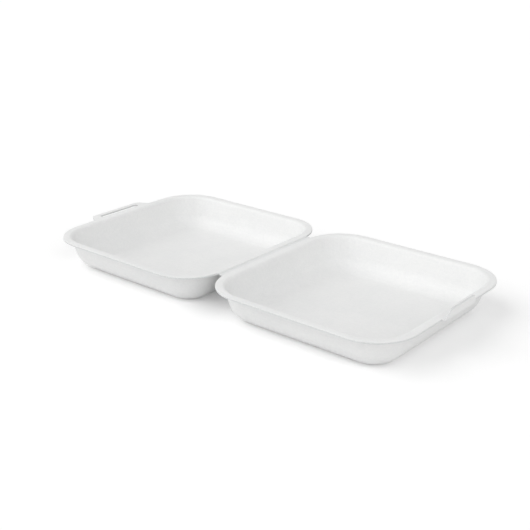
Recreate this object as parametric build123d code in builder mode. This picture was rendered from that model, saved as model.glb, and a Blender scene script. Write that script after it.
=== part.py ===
from build123d import *
import math
import os

# Hinged clamshell food container, formed from one foamed plastic sheet and opened flat.
# The base lies at +X and the lid at -X, both tubs open upwards, with the crease between them along Y.
# The origin is the middle of the face that the base stands on.

# Rim, in millimetres
container_width = 234.0
half_length = 229.0
half_height = 37.5
foam_gauge = 2.2
rim_width = 10.0
rim_corner_radius = 47.0

# Tub
wall_draft = 18.0
rim_bend = 5.0
floor_bend = 24.0

# Crease that the lid folds on
web_thickness = 0.8
fold_clearance = 0.15
crease_flank = 1.2
notch_margin = 0.5

# Locking tongue on the base's front edge
tongue_width = 56.0
tongue_taper = 4.0
tongue_height = 10.0
tongue_lean = 12.0
tongue_setback = 2.5
tongue_bend = 1.5
tongue_corner = 7.0

# Slotted flap on the lid's front edge
slot_clearance = 0.9
slot_end_clearance = 2.0
flap_bridge = 6.0
flap_shoulder = 14.0
flap_taper = 7.0
flap_corner = 8.0
flap_root_fillet = 6.0

# Length by which a formed feature runs into the sheet it grows from
join_depth = 1.0

# The crease is as wide as the half turn that it wraps round the two closed rims
fold_radius = foam_gauge + fold_clearance
crease_half = math.pi / 2 * fold_radius
hinge_x = -(half_length / 2 + crease_half)
front_x = crease_half + half_length
side_y = container_width / 2
wall_offset = foam_gauge / math.cos(math.radians(wall_draft))

# Reach of the tongue beyond the rim's front edge, at its root and at its tip
lean_slope = math.tan(math.radians(tongue_lean))
tongue_section = foam_gauge / math.cos(math.radians(tongue_lean))
tongue_root = tongue_setback + tongue_section
tongue_reach = tongue_root + tongue_height * lean_slope

# Upright plane on the base's front edge, facing outwards
front_plane = Plane(origin=(hinge_x + front_x, 0, half_height), x_dir=(0, 1, 0), z_dir=(1, 0, 0))


def rim_plane(toward):
    """Plane of the rim's top. Its x runs from the fold line to the front: toward is 1 or -1 along X."""
    return Plane(origin=(hinge_x, 0, half_height), x_dir=(toward, 0, 0), z_dir=(0, 0, 1))


def section_plane(toward):
    """Upright plane across the hinge, through the middle of a half. Its x runs as on the rim's plane."""
    return Plane(origin=(hinge_x, 0, half_height), x_dir=(toward, 0, 0), z_dir=(0, -toward, 0))


def half_outline():
    """Cut outline of one half with its share of the crease, rounded at the corners and notches."""
    back = Vector(crease_half + rim_corner_radius, side_y - rim_corner_radius)
    front = Vector(front_x - rim_corner_radius, back.Y)
    notch_radius = crease_half + notch_margin
    reach = rim_corner_radius + notch_radius
    notch = Vector(0, back.Y + math.sqrt(reach**2 - back.X**2))
    touch = back + (notch - back) * (rim_corner_radius / reach)
    back_angle = math.degrees(math.atan2(touch.Y - back.Y, touch.X - back.X))
    crease_end = notch - Vector(0, notch_radius)
    with BuildSketch() as outline:
        with BuildLine():
            Line((0, 0), crease_end)
            TangentArc(crease_end, touch, tangent=(1, 0))
            CenterArc(back, rim_corner_radius, 90, back_angle - 90)
            Line((back.X, side_y), (front.X, side_y))
            CenterArc(front, rim_corner_radius, 0, 90)
            Line((front_x, front.Y), (front_x, 0))
            mirror(about=Plane.XZ)
        make_face()
    return outline.sketch


def flap_outline():
    """Flap beyond the lid's front edge, with a flared root, and the slot that takes the tongue."""
    slot_near = tongue_setback - slot_clearance
    slot_far = tongue_reach + slot_clearance
    slot_length = tongue_width + 2 * slot_end_clearance
    root_y = slot_length / 2 + flap_shoulder
    foot_y = root_y + flap_root_fillet
    tip_x = front_x + slot_far + flap_bridge
    tip_y = root_y - flap_taper
    with BuildSketch() as outline:
        with BuildLine():
            Polyline(
                (front_x - join_depth, foot_y),
                (front_x, foot_y),
                (front_x, root_y),
                (tip_x, tip_y),
                (tip_x, -tip_y),
                (front_x, -root_y),
                (front_x, -foot_y),
                (front_x - join_depth, -foot_y),
                close=True,
            )
        make_face()
        roots = outline.vertices().filter_by(lambda v: math.isclose(abs(v.Y), root_y))
        fillet(roots, radius=flap_root_fillet)
        fillet(outline.vertices().group_by(Axis.X)[-1], radius=flap_corner)
        with Locations((front_x + (slot_near + slot_far) / 2, 0)):
            SlotOverall(slot_length, slot_far - slot_near, rotation=90, mode=Mode.SUBTRACT)
    return outline.sketch


def tub_outline(inset):
    """Rounded square, inset from the rim's cut edge by the same distance all round."""
    with BuildSketch() as outline:
        with Locations((crease_half + half_length / 2, 0)):
            RectangleRounded(
                half_length - 2 * inset,
                container_width - 2 * inset,
                rim_corner_radius - inset,
            )
    return outline.sketch


def tub_form(top, inset, depth, bend):
    """Solid with drafted sides and a rounded foot: the outside of the tub, or the space inside it."""
    with BuildPart() as form:
        with BuildSketch(top):
            add(tub_outline(inset))
        extrude(amount=-depth, taper=wall_draft)
        fillet(form.edges().group_by(Axis.Z)[0], radius=bend)
    return form.part


def tub_edge(face):
    """Edges of the widest opening in a face, where the tub meets the rim."""
    return face.inner_wires().sort_by(SortBy.LENGTH)[-1].edges()


def formed_half(toward):
    """One half of the sheet: the cut rim, the tub formed down from it and the crease pressed in its top."""
    top = rim_plane(toward)
    groove_depth = foam_gauge - web_thickness
    with BuildPart() as half:
        with BuildSketch(top):
            add(half_outline())
        extrude(amount=-foam_gauge)
        add(tub_form(top, rim_width - wall_offset, half_height, floor_bend))
        rim_underside = half.faces().filter_by(Axis.Z).group_by(Axis.Z)[1][0]
        fillet(tub_edge(rim_underside), radius=rim_bend - foam_gauge)
        add(
            tub_form(top, rim_width, half_height - foam_gauge, floor_bend - foam_gauge),
            mode=Mode.SUBTRACT,
        )
        rim_top = half.faces().filter_by(Axis.Z).group_by(Axis.Z)[-1][0]
        fillet(tub_edge(rim_top), radius=rim_bend)

        # Crease, pressed down to a thin web along the fold line
        with BuildSketch(section_plane(toward)):
            with BuildLine():
                Polyline(
                    (-join_depth, join_depth),
                    (crease_half, join_depth),
                    (crease_half, 0),
                    (crease_half - crease_flank, -groove_depth),
                    (-join_depth, -groove_depth),
                    close=True,
                )
            make_face()
        extrude(amount=side_y, both=True, mode=Mode.SUBTRACT)
    return half.part


# Tongue that springs up from the base's front edge, cut out with rounded upper corners
with BuildPart() as tongue:
    with BuildSketch(section_plane(1)) as section:
        inner_x = front_x + tongue_setback
        outer_x = front_x + tongue_root
        spare_height = tongue_height + join_depth
        with BuildLine():
            Polyline(
                (front_x - join_depth, -foam_gauge),
                (outer_x - foam_gauge * lean_slope, -foam_gauge),
                (outer_x + spare_height * lean_slope, spare_height),
                (inner_x + spare_height * lean_slope, spare_height),
                (inner_x, 0),
                (front_x - join_depth, 0),
                close=True,
            )
        make_face()
        underside, topside = section.vertices().group_by(Axis.Y)[:2]
        fillet(underside.sort_by(Axis.X)[-1], radius=tongue_bend + foam_gauge)
        fillet(topside.sort_by(Axis.X)[-1], radius=tongue_bend)
    extrude(amount=tongue_width, both=True)
    with BuildSketch(front_plane) as front_shape:
        root_y = tongue_width / 2
        tip_y = root_y - tongue_taper
        foot = -foam_gauge - join_depth
        with BuildLine():
            Polyline(
                (-root_y, foot),
                (root_y, foot),
                (root_y, 0),
                (tip_y, tongue_height),
                (-tip_y, tongue_height),
                (-root_y, 0),
                close=True,
            )
        make_face()
        fillet(front_shape.vertices().group_by(Axis.Y)[-1], radius=tongue_corner)
    extrude(amount=tongue_reach + join_depth, both=True, mode=Mode.INTERSECT)

# Base, with the tongue grown on
with BuildPart() as base:
    add(formed_half(1))
    add(tongue.part)

# Lid, which opens flat beside the base, with the slotted flap in the plane of its rim
with BuildPart() as lid:
    add(formed_half(-1))
    with BuildSketch(rim_plane(-1)):
        add(flap_outline())
    extrude(amount=-foam_gauge)

base.part.label = "base"
lid.part.label = "lid"

os.makedirs("parts", exist_ok=True)
export_step(base.part, "parts/base.step")
export_step(lid.part, "parts/lid.step")
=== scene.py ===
import math

import bmesh
import bpy
import numpy as np
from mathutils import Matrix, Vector


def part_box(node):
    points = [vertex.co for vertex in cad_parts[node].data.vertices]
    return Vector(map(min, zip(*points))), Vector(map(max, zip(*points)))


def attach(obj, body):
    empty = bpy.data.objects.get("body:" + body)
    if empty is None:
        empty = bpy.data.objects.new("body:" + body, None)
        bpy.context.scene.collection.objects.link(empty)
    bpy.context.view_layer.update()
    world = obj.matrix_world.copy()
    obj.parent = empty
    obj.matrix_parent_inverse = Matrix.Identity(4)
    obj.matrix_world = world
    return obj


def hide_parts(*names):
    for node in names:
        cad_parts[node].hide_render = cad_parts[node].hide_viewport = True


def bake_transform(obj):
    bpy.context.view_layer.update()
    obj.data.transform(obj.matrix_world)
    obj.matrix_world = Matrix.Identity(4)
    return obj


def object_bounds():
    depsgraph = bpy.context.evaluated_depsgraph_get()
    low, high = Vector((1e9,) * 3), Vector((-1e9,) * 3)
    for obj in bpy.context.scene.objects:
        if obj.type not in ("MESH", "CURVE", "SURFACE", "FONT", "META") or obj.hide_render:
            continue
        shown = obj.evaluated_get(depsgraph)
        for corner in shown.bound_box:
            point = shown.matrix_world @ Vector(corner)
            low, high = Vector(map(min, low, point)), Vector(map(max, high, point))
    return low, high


# Looks of a hinged foam food container that lies opened flat.
# Lengths are in millimetres, as in the part's source, and become metres where a mesh is made.

# Millimetres in a metre
METRE = 1000.0

# Sizes of the formed sheet
GAUGE = 2.2
HALF_LENGTH = 229.0
CORNER_RADIUS = 47.0
RIM_WIDTH = 10.0
DRAFT = math.radians(18.0)
RIM_BEND = 5.0
FLOOR_BEND = 24.0

# Crease
WEB_THICKNESS = 0.8
FOLD_CLEARANCE = 0.15
CREASE_FLANK = 1.2
NOTCH_MARGIN = 0.5

# Tongue on the base and slotted flap on the lid
TONGUE_HALF_WIDTH = 28.0
TONGUE_TAPER = 4.0
TONGUE_HEIGHT = 10.0
TONGUE_LEAN = math.radians(12.0)
TONGUE_SETBACK = 2.5
TONGUE_BEND = 1.5
TONGUE_CORNER = 7.0
SLOT_CLEARANCE = 0.9
SLOT_END_CLEARANCE = 2.0
FLAP_BRIDGE = 6.0
FLAP_SHOULDER = 14.0
FLAP_TAPER = 7.0
FLAP_CORNER = 8.0
FLAP_ROOT_FILLET = 6.0

# Die-cut edges: their rounding, and how far and how wide the cutter presses the rim's top down
EDGE_ROUNDING = 0.3
EDGE_PRESS = 0.32
EDGE_PRESS_WIDTH = 1.5

# Where the press fades out: towards the crease, and beside the roots in the front edge's band
EDGE_PRESS_FADE = 6.0
FRONT_BAND = 1.0
ROOT_MARGIN = 1.0

# Middle strip of the crease, and how far the crease piece reaches beyond the crease
STRIP_HALF = 3.2
CREASE_MARGIN = 1.0

# Unevenness of the hot-formed sheet: heights, and the distances over which they set in
WALL_RIPPLE = 0.28
FLOOR_CROWN = 0.3
FLOOR_RIPPLE = 0.16
FLOOR_FADE = 45.0
RIM_RIPPLE = 0.12
RIM_RIPPLE_START = 12.0
RIM_RIPPLE_FADE = 30.0

# Waves of the unevenness: radians for each millimetre along X and along Y, and phase
WAVES = ((0.050, 0.021, 0.3), (-0.027, 0.061, 1.9), (0.083, 0.046, 4.1), (0.015, -0.094, 2.6))

# Usual reach of the waves' sum, and the extra phase of the lid's waves
WAVES_REACH = 3.0
LID_PHASE = 2.2

# Spacing of the mesh's points along the hinge and the front
STOP_SPACING = 2.8

# Numbers of points along the other stretches of the mesh, both ends counted
SIDE_POINTS = 49
FRONT_CORNER_POINTS = 27
BACK_CORNER_POINTS = 24
STRIP_END_POINTS = 7
NOTCH_POINTS = 6
CREASE_FLOOR_POINTS = 7
CREASE_FLANK_POINTS = 4
RIM_BEND_POINTS = 10
WALL_POINTS = 10
FLOOR_BEND_POINTS = 17
FLOOR_MARGIN_POINTS = 7
TONGUE_BEND_POINTS = 8
TIP_CORNER_POINTS = 9
ROOT_FILLET_POINTS = 7
SLOT_END_POINTS = 13

# Rows of the rim, as shares of the way from its cut edge to the start of its bend
RIM_SHARES = (0, 0.0714, 0.13, 0.21, 0.3, 0.42, 0.57, 0.72, 0.86)

# Distance within which two places count as one
TOLERANCE = 0.01

# Material slots of each piece
SKIN_SLOT = 0
CUT_SLOT = 1

# Sheen of the foam: its index of refraction, and the skin's roughness before its patterns
FOAM_IOR = 1.46
SKIN_ROUGHNESS = 0.32

# Distances over which the crease's look fades out, at its underside and past its flanks
UNDERSIDE_FADE = 0.2
FLANK_FADE = 0.3

# Strength of the world's light on the container and of the floor's glow
WORLD_LIGHT = 0.515
FLOOR_GLOW = 0.20

# Half the width of the floor, in metres
FLOOR_HALF_WIDTH = 40.0

# Camera, fitted to the photograph: degrees, metres from the container's middle, and pixels
CAMERA_AZIMUTH = 39.8
CAMERA_ELEVATION = 21.4
CAMERA_DISTANCE = 1.059
FOCAL_PIXELS = 965.0
FRAME_PIXELS = 530.0

# How far the camera sees, in metres, and the width of its sensor in millimetres
CAMERA_REACH = 200.0
SENSOR_WIDTH = 36.0

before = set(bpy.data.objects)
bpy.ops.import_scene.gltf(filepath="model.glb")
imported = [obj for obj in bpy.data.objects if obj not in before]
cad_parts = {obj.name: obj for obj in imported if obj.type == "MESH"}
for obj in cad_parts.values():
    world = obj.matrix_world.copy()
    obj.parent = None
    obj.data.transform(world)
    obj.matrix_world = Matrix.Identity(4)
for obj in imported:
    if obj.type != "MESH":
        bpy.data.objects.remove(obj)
cad_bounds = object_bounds()

base_low, base_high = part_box("base")
lid_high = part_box("lid")[1]
HINGE_X = base_low.x * METRE
SIDE_Y = base_high.y * METRE
RIM_Z = lid_high.z * METRE

# One half, measured from the fold line (u), from the middle of the hinge (v) and from the rim's top
CREASE_HALF = math.pi / 2 * (GAUGE + FOLD_CLEARANCE)
FRONT_U = CREASE_HALF + HALF_LENGTH
BACK_CENTRE = (CREASE_HALF + CORNER_RADIUS, SIDE_Y - CORNER_RADIUS)
FRONT_CENTRE = (FRONT_U - CORNER_RADIUS, SIDE_Y - CORNER_RADIUS)

# Section of the tub: insets from the cut edge at which its bends start, and the floor's height
BEND_REACH = math.tan((math.pi / 2 - DRAFT) / 2)
BEND_START = RIM_WIDTH - RIM_BEND * BEND_REACH
FLOOR_Z = GAUGE - RIM_Z
FLOOR_START = RIM_WIDTH - FLOOR_Z * math.tan(DRAFT) + (FLOOR_BEND - GAUGE) * BEND_REACH

# Rounded notch at each end of the crease
NOTCH_RADIUS = CREASE_HALF + NOTCH_MARGIN
NOTCH_REACH = CORNER_RADIUS + NOTCH_RADIUS
NOTCH_V = BACK_CENTRE[1] + math.sqrt(NOTCH_REACH**2 - BACK_CENTRE[0] ** 2)

# Tongue, slot and flap
TONGUE_ROOT = TONGUE_SETBACK + GAUGE / math.cos(TONGUE_LEAN)
TONGUE_REACH = TONGUE_ROOT + TONGUE_HEIGHT * math.tan(TONGUE_LEAN)
SLOT_NEAR = FRONT_U + TONGUE_SETBACK - SLOT_CLEARANCE
SLOT_FAR = FRONT_U + TONGUE_REACH + SLOT_CLEARANCE
SLOT_HALF = TONGUE_HALF_WIDTH + SLOT_END_CLEARANCE
FLAP_ROOT = SLOT_HALF + FLAP_SHOULDER
FLAP_TIP = SLOT_FAR + FLAP_BRIDGE


def smooth(value):
    """Smooth step from 0 to 1 of a value or an array of values."""
    t = np.clip(value, 0.0, 1.0)
    return t * t * (3 - 2 * t)


def corner_points(before, corner, after, radius, count):
    """Points of the arc of that radius in a corner, from the first side to the second."""
    before, corner, after = (np.array(p, float) for p in (before, corner, after))
    a = (before - corner) / np.linalg.norm(before - corner)
    b = (after - corner) / np.linalg.norm(after - corner)
    half = math.acos(float(np.clip(a @ b, -1, 1))) / 2
    middle = (a + b) / np.linalg.norm(a + b)
    centre = corner + middle * radius / math.sin(half)
    start = corner + a * radius / math.tan(half) - centre
    end = corner + b * radius / math.tan(half) - centre
    first = math.atan2(start[1], start[0])
    turn = math.atan2(start[0] * end[1] - start[1] * end[0], start @ end)
    angles = first + turn * np.linspace(0, 1, count)
    return [(centre[0] + radius * math.cos(t), centre[1] + radius * math.sin(t)) for t in angles]


def flap_root_arc():
    """Fillet between the front edge and the flap's side, from the side to the edge."""
    tip = (FLAP_TIP, FLAP_ROOT - FLAP_TAPER)
    root = (FRONT_U, FLAP_ROOT)
    beyond = (FRONT_U, FLAP_ROOT + CORNER_RADIUS)
    return corner_points(tip, root, beyond, FLAP_ROOT_FILLET, ROOT_FILLET_POINTS)


def side_stops():
    """Places along the hinge and the front, with stops at the roots of the tongue and the flap."""
    foot = max(v for u, v in flap_root_arc())
    ends = (0.0, TONGUE_HALF_WIDTH, foot, BACK_CENTRE[1])
    stops = [0.0]
    for low, high in zip(ends, ends[1:]):
        steps = max(2, round((high - low) / STOP_SPACING))
        stops += list(np.linspace(low, high, steps + 1)[1:])
    return np.array([-v for v in stops[:0:-1]] + stops)


def notch_edge(u):
    """Where the notch cuts the crease off, at a distance from the fold line."""
    return NOTCH_V - math.sqrt(NOTCH_RADIUS**2 - u**2)


def notch_path():
    """Border of the strip, then the notch as far as the corner's arc, and the turn to that point."""
    sweep = math.acos(BACK_CENTRE[0] / NOTCH_REACH)
    border = np.linspace(BACK_CENTRE[1], notch_edge(STRIP_HALF), STRIP_END_POINTS)
    points = [(STRIP_HALF, v) for v in border]
    for angle in np.linspace(-math.acos(STRIP_HALF / NOTCH_RADIUS), -sweep, NOTCH_POINTS)[1:]:
        points.append((NOTCH_RADIUS * math.cos(angle), NOTCH_V + NOTCH_RADIUS * math.sin(angle)))
    return np.array(points), sweep


def half_stations():
    """Stations round one half, against the clock from the front side.

    Each has an anchor, an outward direction and its point on the cut outline. The ring at some
    inset from the rim's edge is at anchor + (corner radius - inset) * direction.
    """
    stops = side_stops()
    back_u, back_v = BACK_CENTRE
    front_u = FRONT_CENTRE[0]
    lengths = np.linspace(front_u, back_u, SIDE_POINTS)
    quarter = np.linspace(0, math.pi / 2, FRONT_CORNER_POINTS)
    notch, sweep = notch_path()
    fine = np.linspace(0, sweep, len(notch))
    coarse = np.linspace(sweep, math.pi / 2, BACK_CORNER_POINTS)
    back_turn = np.concatenate((fine, coarse[1:]))
    anchors, directions, edges = [], [], []

    def put(anchor, angle, edge=None):
        direction = (math.cos(angle), math.sin(angle))
        if edge is None:
            edge = np.array(anchor) + CORNER_RADIUS * np.array(direction)
        anchors.append(anchor)
        directions.append(direction)
        edges.append(tuple(edge))

    for v in stops[:-1]:
        put((front_u, v), 0.0)
    for angle in quarter[:-1]:
        put((front_u, back_v), angle)
    for u in lengths[:-1]:
        put((u, back_v), math.pi / 2)
    for i in range(len(back_turn) - 1, 0, -1):
        edge = notch[i] if i < len(notch) else None
        put((back_u, back_v), math.pi - back_turn[i], edge)
    for v in stops[:0:-1]:
        put((back_u, v), math.pi, (STRIP_HALF, v))
    for i in range(len(back_turn) - 1):
        edge = (notch[i][0], -notch[i][1]) if i < len(notch) else None
        put((back_u, -back_v), math.pi + back_turn[i], edge)
    for u in lengths[:0:-1]:
        put((u, -back_v), 1.5 * math.pi)
    for angle in quarter[:-1]:
        put((front_u, -back_v), 1.5 * math.pi + angle)
    return np.array(anchors), np.array(directions), np.array(edges), stops, lengths[::-1]


def profile():
    """Top side of the sheet from the rim's bend to the margin of the floor.

    Each point has its inset, its height and its normal's parts inward and up.
    """
    bend = FLOOR_BEND - GAUGE
    rim_arc = []
    for angle in np.linspace(math.pi / 2, DRAFT, RIM_BEND_POINTS):
        n, up = math.cos(angle), math.sin(angle)
        rim_arc.append((BEND_START + RIM_BEND * n, -RIM_BEND + RIM_BEND * up, n, up))
    floor_arc = []
    for angle in np.linspace(DRAFT, math.pi / 2, FLOOR_BEND_POINTS):
        n, up = math.cos(angle), math.sin(angle)
        floor_arc.append((FLOOR_START - bend * n, FLOOR_Z + bend - bend * up, n, up))
    top, foot = rim_arc[-1], floor_arc[0]
    wall = []
    for share in np.linspace(0, 1, WALL_POINTS)[1:-1]:
        inset = top[0] + (foot[0] - top[0]) * share
        height = top[1] + (foot[1] - top[1]) * share
        wall.append((inset, height, top[2], top[3]))
    margin = []
    for inset in np.linspace(FLOOR_START, CORNER_RADIUS, FLOOR_MARGIN_POINTS)[1:]:
        margin.append((inset, FLOOR_Z, 0.0, 1.0))
    return np.array(rim_arc + wall + floor_arc + margin)


class Sheet:
    """Pairs of points on the sheet's two sides, joined by faces that both sides share."""

    def __init__(self):
        self.pairs = []
        self.found = {}
        self.faces = []

    def pair(self, top, bottom):
        """Index of a pair of points, the same for one that is already there."""
        key = tuple(round(float(c), 4) for c in top)
        if key not in self.found:
            self.found[key] = len(self.pairs)
            self.pairs.append((tuple(top), tuple(bottom)))
        return self.found[key]

    def face(self, *corners):
        """A face, seen against the clock from above, without the corners that coincide."""
        kept = [c for i, c in enumerate(corners) if c != corners[i - 1]]
        if len(kept) > 2:
            self.faces.append(kept)

    def grid(self, rows, closed=False):
        """Faces between rows of equal length."""
        for lower, upper in zip(rows, rows[1:]):
            for i in range(len(lower) if closed else len(lower) - 1):
                j = (i + 1) % len(lower)
                self.face(lower[i], lower[j], upper[j], upper[i])


def on_half(toward, u, v, z):
    """Point of the whole sheet for a point of one half. Toward is 1 on the base and -1 on the lid."""
    return (HINGE_X + toward * u, toward * v, RIM_Z + z)


def ripple(toward, u, v):
    """Slow unevenness between about -1 and 1 on one half, the same on each run."""
    x, y = HINGE_X + toward * u, toward * v
    phase = 0.0 if toward > 0 else LID_PHASE
    return sum(np.sin(kx * x + ky * y + shift + phase) for kx, ky, shift in WAVES) / WAVES_REACH


def unevenness(toward, u, v, along):
    """Displacement along the normal: bowed walls and a slightly domed floor.

    Along is 0 at the top of the wall and 1 at its foot.
    """
    slow = ripple(toward, u, v)
    near_u = np.minimum(u - BACK_CENTRE[0], FRONT_CENTRE[0] - u) + CORNER_RADIUS
    near_v = BACK_CENTRE[1] - np.abs(v) + CORNER_RADIUS
    middle = smooth((near_u - FLOOR_START) / FLOOR_FADE) * smooth((near_v - FLOOR_START) / FLOOR_FADE)
    wall = np.sin(math.pi * np.clip(along, 0, 1)) ** 2
    return WALL_RIPPLE * slow * wall + middle * (FLOOR_CROWN + FLOOR_RIPPLE * slow)


def pressed_depth(u):
    """How far the crease lies below the rim's top at a distance from the fold line."""
    beyond_floor = np.abs(u) - CREASE_HALF + CREASE_FLANK
    return (GAUGE - WEB_THICKNESS) * (1 - smooth(beyond_floor / CREASE_FLANK))


def add_strip(sheet, toward, edges):
    """Middle strip of the crease, from the fold line outwards."""
    border = [v for u, v in edges if abs(u - STRIP_HALF) < TOLERANCE]
    flank_foot = CREASE_HALF - CREASE_FLANK
    floor_places = np.linspace(0, flank_foot, CREASE_FLOOR_POINTS)
    flank_places = np.linspace(flank_foot, STRIP_HALF, CREASE_FLANK_POINTS)[1:]
    full = notch_edge(STRIP_HALF) - BACK_CENTRE[1]
    rows = []
    for u in (*floor_places, *flank_places):
        stretch = (notch_edge(u) - BACK_CENTRE[1]) / full
        depth = pressed_depth(u)
        row = []
        for border_v in border:
            beyond = max(abs(border_v) - BACK_CENTRE[1], 0.0)
            v = border_v + math.copysign(beyond * (stretch - 1), border_v)
            row.append(sheet.pair(on_half(toward, u, v, -depth), on_half(toward, u, v, -GAUGE)))
        rows.append(row)
    sheet.grid(rows)


def rim_rows(sheet, toward, anchors, directions, edges):
    """Rows of the rim, from the cut edge to the start of the bend."""
    start = anchors + directions * (CORNER_RADIUS - BEND_START)
    root = TONGUE_HALF_WIDTH if toward > 0 else FLAP_ROOT + FLAP_ROOT_FILLET
    at_front = smooth((edges[:, 0] - FRONT_U + FRONT_BAND) / (FRONT_BAND / 2))
    beside_root = smooth((np.abs(edges[:, 1]) - root - ROOT_MARGIN) / EDGE_PRESS_FADE)
    cut_share = smooth((edges[:, 0] - NOTCH_RADIUS) / EDGE_PRESS_FADE)
    cut_share = cut_share * (1 - at_front * (1 - beside_root))
    rows = []
    for share in RIM_SHARES:
        at = edges * (1 - share) + start * share
        beside_flap = np.abs(at[:, 1]) >= FLAP_ROOT + FLAP_CORNER
        sink = RIM_RIPPLE * (1 + ripple(toward, at[:, 0], at[:, 1])) / 2
        sink = sink * np.sin(math.pi * share) * smooth((at[:, 0] - RIM_RIPPLE_START) / RIM_RIPPLE_FADE)
        sink = sink * beside_flap
        press = EDGE_PRESS * cut_share * (1 - smooth(share * BEND_START / EDGE_PRESS_WIDTH))
        depth = pressed_depth(at[:, 0]) + press
        rows.append([
            sheet.pair(on_half(toward, u, v, -s - d), on_half(toward, u, v, -GAUGE - s))
            for (u, v), s, d in zip(at, sink, depth)
        ])
    return rows


def tub_rows(sheet, toward, anchors, directions):
    """Rows of the bend, the wall, the foot and the margin of the floor."""
    rows = []
    for index, (inset, height, inward, up) in enumerate(profile()):
        along = (index - RIM_BEND_POINTS + 1) / (WALL_POINTS - 1)
        top = anchors + directions * (CORNER_RADIUS - inset)
        lift = unevenness(toward, top[:, 0], top[:, 1], along)
        row = []
        for (u, v), (out_u, out_v), rise in zip(top, directions, lift):
            normal = (-inward * out_u, -inward * out_v, up)
            upper = (u + normal[0] * rise, v + normal[1] * rise, height + up * rise)
            lower = tuple(c - GAUGE * n for c, n in zip(upper, normal))
            row.append(sheet.pair(on_half(toward, *upper), on_half(toward, *lower)))
        rows.append(row)
    return rows


def add_floor_middle(sheet, toward, stops, lengths):
    """Middle of the floor, inside the last row of the tub."""
    rows = []
    for u in lengths:
        heights = FLOOR_Z + unevenness(toward, np.full(len(stops), u), stops, 0)
        rows.append([
            sheet.pair(on_half(toward, u, v, z), on_half(toward, u, v, z - GAUGE))
            for v, z in zip(stops, heights)
        ])
    for nearer, further in zip(rows, rows[1:]):
        for k in range(len(stops) - 1):
            sheet.face(nearer[k], further[k], further[k + 1], nearer[k + 1])


def add_half(sheet, toward):
    """One half of the sheet. Returns the pairs along the front edge by their places across it."""
    anchors, directions, edges, stops, lengths = half_stations()
    add_strip(sheet, toward, edges)
    rim = rim_rows(sheet, toward, anchors, directions, edges)
    tub = tub_rows(sheet, toward, anchors, directions)
    sheet.grid(rim + tub, closed=True)
    add_floor_middle(sheet, toward, stops, lengths)
    return {round(float(v), 3): rim[0][k] for k, v in enumerate(stops[:-1])}


def add_tongue(sheet, front):
    """Tongue on the base's front edge: it bends up to a flat tip with rounded corners."""
    turn = math.pi / 2 - TONGUE_LEAN
    bend_start = TONGUE_SETBACK - TONGUE_BEND * math.tan(turn / 2)
    path = [(bend_start / 2, 0.0, 0.0, 1.0)]
    for angle in np.linspace(0, turn, TONGUE_BEND_POINTS):
        n, up = -math.sin(angle), math.cos(angle)
        path.append((bend_start - TONGUE_BEND * n, TONGUE_BEND - TONGUE_BEND * up, n, up))
    slant = TONGUE_TAPER / TONGUE_HEIGHT

    def tongue_pair(out, v, z, n, up):
        upper = (FRONT_U + out, v, z)
        lower = (FRONT_U + out - GAUGE * n, v, z - GAUGE * up)
        return sheet.pair(on_half(1, *upper), on_half(1, *lower))

    places = sorted(v for v in front if abs(v) <= TONGUE_HALF_WIDTH + TOLERANCE)
    rows = [[front[v] for v in places]]
    for out, z, n, up in path:
        width = 1 - slant * z / TONGUE_HALF_WIDTH
        rows.append([tongue_pair(out, v * width, z, n, up) for v in places])
    sheet.grid(rows[::-1])

    side = (TONGUE_HALF_WIDTH, 0)
    tip = (TONGUE_HALF_WIDTH - TONGUE_TAPER, TONGUE_HEIGHT)
    corner = corner_points(side, tip, (0, TONGUE_HEIGHT), TONGUE_CORNER, TIP_CORNER_POINTS)
    outline = corner + [(-v, z) for v, z in corner[::-1]]
    normal = path[-1][2:]
    lean_slope = math.tan(TONGUE_LEAN)
    upright = [tongue_pair(TONGUE_SETBACK + z * lean_slope, v, z, *normal) for v, z in outline]
    sheet.face(*(rows[-1] + upright)[::-1])


def add_flap(sheet, front):
    """Flap with its slot, in two halves that meet along the middle."""
    tip = (FLAP_TIP, FLAP_ROOT - FLAP_TAPER)
    side = corner_points((FLAP_TIP, 0), tip, (FRONT_U, FLAP_ROOT), FLAP_CORNER, TIP_CORNER_POINTS)
    root = flap_root_arc()
    slot_radius = (SLOT_FAR - SLOT_NEAR) / 2
    slot_centre = (SLOT_NEAR + slot_radius, SLOT_HALF - slot_radius)
    slot_end = [
        (slot_centre[0] + slot_radius * math.cos(a), slot_centre[1] + slot_radius * math.sin(a))
        for a in np.linspace(math.pi, 0, SLOT_END_POINTS)
    ]
    foot = max(v for u, v in root)
    outline = [(SLOT_NEAR, 0.0)] + slot_end + [(SLOT_FAR, 0.0), (FLAP_TIP, 0.0)] + side + root[:-1]
    for sign in (1, -1):
        loop = []
        for u, v in outline:
            loop.append(sheet.pair(on_half(-1, u, sign * v, 0.0), on_half(-1, u, sign * v, -GAUGE)))
        places = [v for v in front if 0 <= sign * v <= foot + TOLERANCE]
        loop += [front[v] for v in sorted(places, key=lambda v: -abs(v))]
        sheet.face(*(loop if sign > 0 else loop[::-1]))


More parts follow.
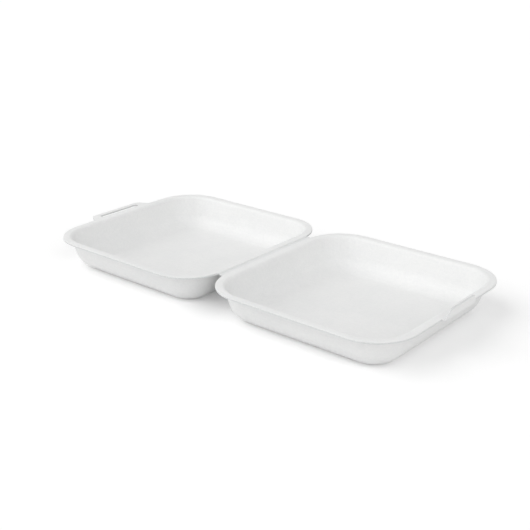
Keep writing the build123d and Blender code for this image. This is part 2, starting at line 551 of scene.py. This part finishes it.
def build_sheet():
    """The whole container as one closed mesh in metres, cut edges rounded."""
    sheet = Sheet()
    add_tongue(sheet, add_half(sheet, 1))
    add_flap(sheet, add_half(sheet, -1))
    count = len(sheet.pairs)
    points = [p[0] for p in sheet.pairs] + [p[1] for p in sheet.pairs]
    open_edges = {}
    for face in sheet.faces:
        for i, b in enumerate(face):
            a = face[i - 1]
            if (b, a) in open_edges:
                del open_edges[(b, a)]
            else:
                open_edges[(a, b)] = True
    faces = list(sheet.faces) + [[i + count for i in reversed(f)] for f in sheet.faces]
    walls = [(b, a, a + count, b + count) for a, b in open_edges]
    mesh = bpy.data.meshes.new("sheet")
    mesh.from_pydata([tuple(c / METRE for c in p) for p in points], [], faces + walls)
    for polygon in mesh.polygons[len(faces):]:
        polygon.material_index = CUT_SLOT
    form = bmesh.new()
    form.from_mesh(mesh)
    form.edges.ensure_lookup_table()
    both = {SKIN_SLOT, CUT_SLOT}
    rims = [e for e in form.edges if {f.material_index for f in e.link_faces} == both]
    bmesh.ops.bevel(form, geom=rims, offset=EDGE_ROUNDING / METRE, segments=2, profile=0.5,
                    affect="EDGES", clamp_overlap=False, material=-1)
    bmesh.ops.recalc_face_normals(form, faces=form.faces)
    for face in form.faces:
        face.smooth = True
    bpy.data.meshes.remove(mesh)
    return form


def cut_piece(form, name, cuts):
    """A closed piece of the sheet.

    Each cut is its distance from the fold line and the direction that is taken off.
    """
    part = form.copy()
    for place, off in cuts:
        plane_x = (HINGE_X + place) / METRE
        geometry = part.verts[:] + part.edges[:] + part.faces[:]
        cut = bmesh.ops.bisect_plane(part, geom=geometry, dist=1e-7, plane_co=(plane_x, 0, 0),
                                     plane_no=(off, 0, 0), clear_outer=True)
        loop = [e for e in cut["geom_cut"] if isinstance(e, bmesh.types.BMEdge)]
        filled = bmesh.ops.edgeloop_fill(part, edges=loop, mat_nr=CUT_SLOT)
        for face in filled["faces"]:
            for edge in face.edges:
                edge.smooth = False
    bmesh.ops.recalc_face_normals(part, faces=part.faces)
    mesh = bpy.data.meshes.new(name)
    part.to_mesh(mesh)
    part.free()

    # The materials read each point's place at rest, so their patterns stay on the sheet as it bends
    at_rest = mesh.attributes.new("at_rest", "FLOAT_VECTOR", "POINT")
    coordinates = np.zeros(len(mesh.vertices) * 3, np.float32)
    mesh.vertices.foreach_get("co", coordinates)
    at_rest.data.foreach_set("vector", coordinates)
    piece = bpy.data.objects.new(name, mesh)
    bpy.context.scene.collection.objects.link(piece)
    weights = piece.modifiers.new("weighted normals", "WEIGHTED_NORMAL")
    weights.keep_sharp = True
    return piece


class Graph:
    """Short forms for the nodes of one material."""

    def __init__(self, name):
        self.material = bpy.data.materials.new(name)
        self.material.use_nodes = True
        self.tree = self.material.node_tree
        self.shader = self.tree.nodes["Principled BSDF"]

    def node(self, kind, **settings):
        made = self.tree.nodes.new(kind)
        for key, value in settings.items():
            setattr(made, key, value)
        return made

    def put(self, socket, value):
        if isinstance(value, bpy.types.NodeSocket):
            self.tree.links.new(value, socket)
        else:
            socket.default_value = value

    def math(self, operation, a, b=0.0, c=0.0):
        made = self.node("ShaderNodeMath", operation=operation)
        for socket, value in zip(made.inputs, (a, b, c)):
            self.put(socket, value)
        return made.outputs[0]

    def add(self, total, value, share):
        """The total plus a share of the value."""
        return self.math("MULTIPLY_ADD", value, share, total)

    def place(self, stretch=(1.0, 1.0, 1.0)):
        """Place on the sheet at rest, in millimetres, with each axis scaled."""
        source = self.node("ShaderNodeAttribute", attribute_name="at_rest")
        scaled = self.node("ShaderNodeVectorMath", operation="MULTIPLY")
        self.put(scaled.inputs[0], source.outputs["Vector"])
        scaled.inputs[1].default_value = [METRE * s for s in stretch]
        return scaled.outputs[0]

    def noise(self, place, scale, detail=2.0, roughness=0.5):
        made = self.node("ShaderNodeTexNoise")
        self.put(made.inputs["Vector"], place)
        made.inputs["Scale"].default_value = scale
        made.inputs["Detail"].default_value = detail
        made.inputs["Roughness"].default_value = roughness
        return made.outputs[0]

    def wander(self, place, scale, reach):
        """Place that strays by up to a reach in millimetres, so that a pattern on it isn't regular."""
        swirl = self.node("ShaderNodeTexNoise")
        self.put(swirl.inputs["Vector"], place)
        swirl.inputs["Scale"].default_value = scale
        moved = self.node("ShaderNodeVectorMath", operation="MULTIPLY_ADD")
        self.put(moved.inputs[0], swirl.outputs["Color"])
        moved.inputs[1].default_value = (reach, reach, reach)
        self.put(moved.inputs[2], place)
        return moved.outputs[0]

    def cells(self, place, scale, feature="SMOOTH_F1"):
        made = self.node("ShaderNodeTexVoronoi", feature=feature)
        self.put(made.inputs["Vector"], place)
        made.inputs["Scale"].default_value = scale
        return made.outputs["Distance"]

    def span(self, value, low, high, to_low=0.0, to_high=1.0):
        """Smooth step of the value, from to_low at low to to_high at high."""
        made = self.node("ShaderNodeMapRange", interpolation_type="SMOOTHSTEP")
        limits = {"From Min": low, "From Max": high, "To Min": to_low, "To Max": to_high}
        for name, number in limits.items():
            made.inputs[name].default_value = number
        self.put(made.inputs["Value"], value)
        return made.outputs["Result"]

    def tint(self, factor, dark, light):
        made = self.node("ShaderNodeMix", data_type="RGBA")
        self.put(made.inputs["Factor"], factor)
        made.inputs["A"].default_value = (*dark, 1)
        made.inputs["B"].default_value = (*light, 1)
        return made.outputs["Result"]

    def bump(self, height):
        """Relief from a height in millimetres."""
        made = self.node("ShaderNodeBump")
        made.inputs["Strength"].default_value = 1.0
        made.inputs["Distance"].default_value = 1 / METRE
        self.put(made.inputs["Height"], height)
        self.put(self.shader.inputs["Normal"], made.outputs["Normal"])


def crease_mask(graph):
    """1 on top of the pressed crease, 0 on the sheet beside it and below its underside."""
    parts = graph.node("ShaderNodeSeparateXYZ")
    graph.put(parts.inputs[0], graph.place())
    distance = graph.math("ABSOLUTE", graph.math("SUBTRACT", parts.outputs["X"], HINGE_X))
    underside = RIM_Z - GAUGE
    above = graph.span(parts.outputs["Z"], underside - UNDERSIDE_FADE, underside + UNDERSIDE_FADE)
    flank = (CREASE_HALF - CREASE_FLANK, CREASE_HALF + FLANK_FADE)
    inside = graph.span(distance, *flank, to_low=1.0, to_high=0.0)
    return graph.math("MULTIPLY", above, inside)


def foam_skin():
    """Skin of formed foam sheet: fine cells, mottling, faint streaks along it and shallow dent pits;
    painted shade darkens the pits and, in part, the cells' borders.
    """
    g = Graph("foam_skin")
    place = g.place()
    clouds = g.noise(place, scale=0.016, detail=3.0, roughness=0.55)
    mottle = g.noise(place, scale=0.30, detail=4.0, roughness=0.62)
    streaks = g.noise(g.place(stretch=(0.06, 1.0, 1.0)), scale=0.5, detail=3.0, roughness=0.6)
    cell_distance = g.cells(g.wander(place, scale=0.6, reach=1.2), scale=1.25)
    cells = g.span(cell_distance, low=0.15, high=0.75, to_low=1.0, to_high=0.0)
    dent_distance = g.cells(place, scale=0.045, feature="F1")
    dents_and_painted_shade = g.span(dent_distance, low=0.0, high=0.085, to_low=1.0, to_high=0.0)
    crease = crease_mask(g)

    # Shade, from the dark end of the skin's colour to the light one; it includes painted shade at the
    # cells' borders and in the dent pits
    shade = g.add(0.0, g.span(mottle, low=0.25, high=0.75), share=0.32)
    shade = g.add(shade, g.span(clouds, low=0.3, high=0.7), share=0.30)
    shade = g.add(shade, g.span(streaks, low=0.25, high=0.75), share=0.16)
    # Darker borders between the cells: partly the foam's own tone, partly painted shade in the
    # recesses there
    shade = g.add(shade, cells, share=0.30)
    shade = g.add(shade, crease, share=-0.55)
    # Darker dent pits: painted shade in the hollows
    shade = g.add(shade, dents_and_painted_shade, share=-0.25)
    colour = g.tint(shade, dark=(0.805, 0.812, 0.812), light=(0.895, 0.895, 0.888))
    g.put(g.shader.inputs["Base Color"], colour)

    roughness = g.add(SKIN_ROUGHNESS, streaks, share=0.12)
    roughness = g.add(roughness, mottle, share=0.16)
    roughness = g.add(roughness, crease, share=-0.12)
    g.put(g.shader.inputs["Roughness"], roughness)

    # Relief in millimetres
    height = g.add(0.0, mottle, share=0.26)
    height = g.add(height, cells, share=0.045)
    height = g.add(height, streaks, share=0.12)
    height = g.add(height, dents_and_painted_shade, share=-0.16)
    g.bump(height)
    g.shader.inputs["IOR"].default_value = FOAM_IOR
    return g.material


def foam_cut():
    """Die-cut edge, where the opened cells show."""
    g = Graph("foam_cut")
    place = g.place()
    pits = g.cells(place, scale=1.9)
    grain = g.noise(place, scale=1.2, detail=4.0, roughness=0.6)
    open_cells = g.span(pits, low=0.1, high=0.55, to_low=1.0, to_high=0.0)
    grains = g.span(grain, low=0.3, high=0.6, to_low=0.6, to_high=1.0)
    shade = g.math("MULTIPLY", open_cells, grains)
    colour = g.tint(shade, dark=(0.70, 0.71, 0.71), light=(0.86, 0.86, 0.855))
    g.put(g.shader.inputs["Base Color"], colour)
    roughness = g.span(grain, low=0.3, high=0.7, to_low=0.6, to_high=0.8)
    g.put(g.shader.inputs["Roughness"], roughness)
    height = g.add(0.0, grain, share=0.16)
    g.bump(g.add(height, pits, share=-0.2))
    g.shader.inputs["IOR"].default_value = FOAM_IOR
    return g.material


def background_share(tree):
    """1 for rays that show the background itself: from the camera, in gloss and through glass."""
    path = tree.nodes.new("ShaderNodeLightPath")
    seen = path.outputs["Is Camera Ray"]
    for name in ("Is Glossy Ray", "Is Transmission Ray"):
        both = tree.nodes.new("ShaderNodeMath")
        both.operation = "MAXIMUM"
        tree.links.new(seen, both.inputs[0])
        tree.links.new(path.outputs[name], both.inputs[1])
        seen = both.outputs[0]
    return seen


def make_world():
    """White surroundings, which light the object less than they show."""
    world = bpy.data.worlds.new("studio")
    bpy.context.scene.world = world
    world.use_nodes = True
    tree = world.node_tree
    sky = tree.nodes["Background"]
    sky.inputs["Color"].default_value = (1, 1, 1, 1)
    level = tree.nodes.new("ShaderNodeMapRange")
    level.inputs["To Min"].default_value = WORLD_LIGHT
    level.inputs["To Max"].default_value = 1.0
    tree.links.new(background_share(tree), level.inputs["Value"])
    tree.links.new(level.outputs["Result"], sky.inputs["Strength"])


def floor_paint():
    """Matt pale paint that glows a little where it is seen, so that it runs into the background."""
    g = Graph("floor")
    grain = g.node("ShaderNodeTexNoise")
    grain.inputs["Scale"].default_value = 3.0
    colour = g.tint(grain.outputs[0], dark=(0.90, 0.90, 0.90), light=(0.93, 0.93, 0.93))
    g.put(g.shader.inputs["Base Color"], colour)
    g.shader.inputs["Roughness"].default_value = 0.9
    g.shader.inputs["Specular IOR Level"].default_value = 0.0
    g.shader.inputs["Emission Color"].default_value = (1, 1, 1, 1)
    glow = g.math("MULTIPLY", background_share(g.tree), FLOOR_GLOW)
    g.put(g.shader.inputs["Emission Strength"], glow)
    return g.material


def make_floor():
    """Pale floor that the container lies on."""
    mesh = bpy.data.meshes.new("floor")
    form = bmesh.new()
    bmesh.ops.create_grid(form, x_segments=1, y_segments=1, size=FLOOR_HALF_WIDTH)
    form.to_mesh(mesh)
    form.free()
    mesh.materials.append(floor_paint())
    floor = bpy.data.objects.new("floor", mesh)
    bpy.context.scene.collection.objects.link(floor)


def back_vector(azimuth, elevation):
    """Unit vector towards a viewer at that azimuth and elevation in degrees."""
    a, e = math.radians(azimuth), math.radians(elevation)
    return Vector((math.sin(a) * math.cos(e), -math.cos(a) * math.cos(e), math.sin(e)))


def aim(azimuth, elevation):
    """Rotation of a lamp or camera that stands there and points at the origin."""
    return back_vector(azimuth, elevation).to_track_quat("Z", "Y").to_euler()


def add_lamp(name, energy, softness, azimuth, elevation):
    """Distant lamp that shines on the origin, as soft as its angle in degrees."""
    lamp = bpy.data.lights.new(name, "SUN")
    lamp.energy = energy
    lamp.angle = math.radians(softness)
    holder = bpy.data.objects.new(name, lamp)
    holder.rotation_euler = aim(azimuth, elevation)
    bpy.context.scene.collection.objects.link(holder)


def make_stage():
    """White surroundings, pale floor and two broad soft lamps."""
    make_world()
    make_floor()
    add_lamp("key", energy=1.37, softness=65, azimuth=-42, elevation=39)
    add_lamp("fill", energy=0.73, softness=50, azimuth=75, elevation=30)


def make_camera():
    """Camera at the photograph's viewing angle and distance, aimed at the container's middle."""
    lens = bpy.data.cameras.new("camera")
    lens.sensor_width = SENSOR_WIDTH
    lens.lens = SENSOR_WIDTH * FOCAL_PIXELS / FRAME_PIXELS
    lens.clip_end = CAMERA_REACH
    camera = bpy.data.objects.new("camera", lens)
    middle = Vector([(low + high) / 2 for low, high in zip(*cad_bounds)])
    camera.location = middle + back_vector(CAMERA_AZIMUTH, CAMERA_ELEVATION) * CAMERA_DISTANCE
    camera.rotation_euler = aim(CAMERA_AZIMUTH, CAMERA_ELEVATION)
    bpy.context.scene.collection.objects.link(camera)
    bpy.context.scene.camera = camera


def make_container():
    """Base and lid, which are rigid, and the crease between them."""
    form = build_sheet()
    edge = CREASE_HALF + CREASE_MARGIN
    base_shell = cut_piece(form, "base_shell", [(edge, -1)])
    lid_shell = cut_piece(form, "lid_shell", [(-edge, 1)])
    hinge_crease = cut_piece(form, "hinge_crease", [(edge, 1), (-edge, -1)])
    form.free()
    skin, cut = foam_skin(), foam_cut()
    for piece in (base_shell, lid_shell, hinge_crease):
        piece.data.materials.append(skin)
        piece.data.materials.append(cut)
    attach(base_shell, "base")
    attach(lid_shell, "lid")
    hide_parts("base")
    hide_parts("lid")
    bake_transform(hinge_crease)


make_container()
make_stage()
make_camera()
bpy.context.scene.view_settings.view_transform = "Standard"
